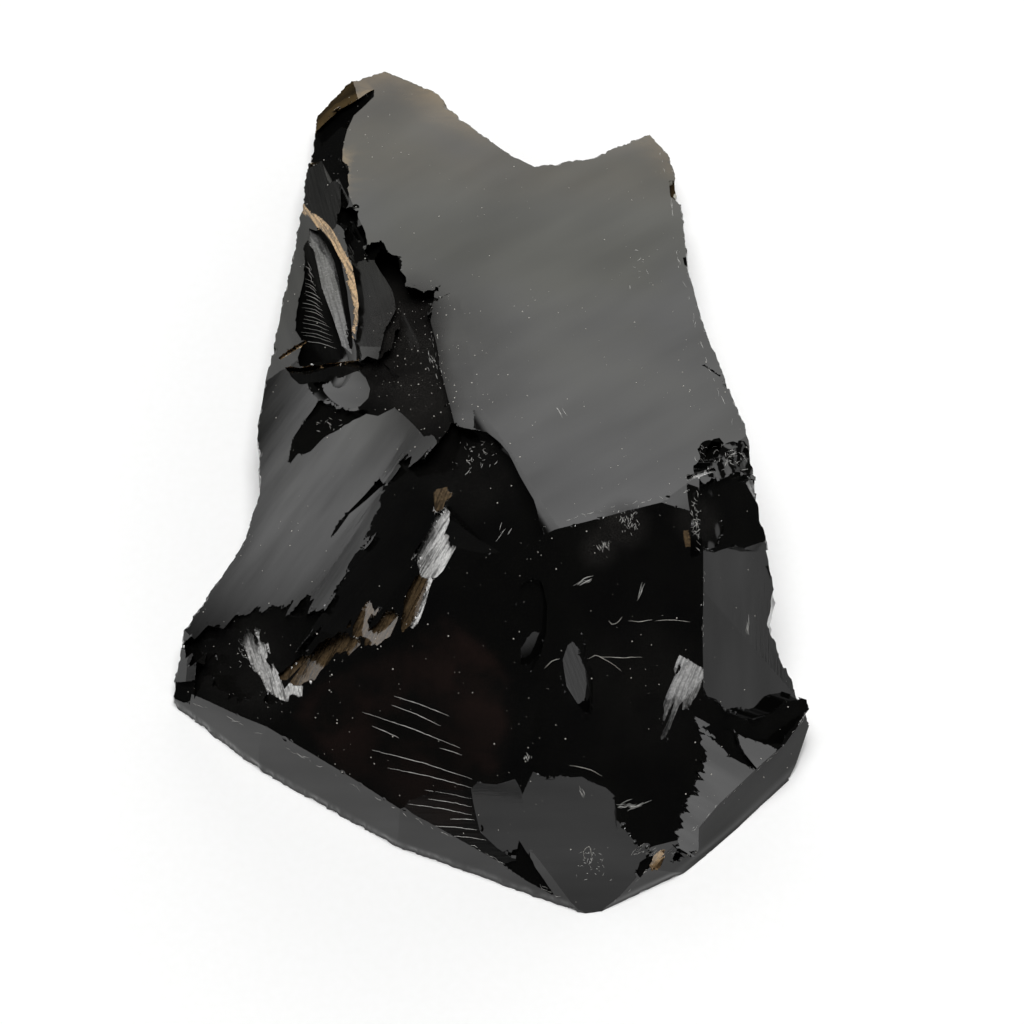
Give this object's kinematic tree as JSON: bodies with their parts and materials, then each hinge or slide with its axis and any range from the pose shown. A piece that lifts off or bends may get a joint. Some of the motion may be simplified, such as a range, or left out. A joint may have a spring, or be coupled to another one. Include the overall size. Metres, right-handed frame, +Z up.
{
  "type": "obsidian chunk",
  "caption": "Hand-sized broken chunk of black volcanic glass with sharp ridges, shell-shaped flake scars and a notched thin edge.",
  "frame": {"origin": "on the flat base, below the middle of the bounding box", "axes": "+Z up from the flat base, +Y along the longest extent towards the thin notched edge, +X to the right of the pointed tip seen from the tip"},
  "size_m": [0.084, 0.1298, 0.038],
  "materials": {
    "obsidian": "polished black, smoky brown where thinner than 2 mm"
  },
  "bodies": {
    "root": {"obsidian_chunk": "obsidian"}
  },
  "joints": []
}
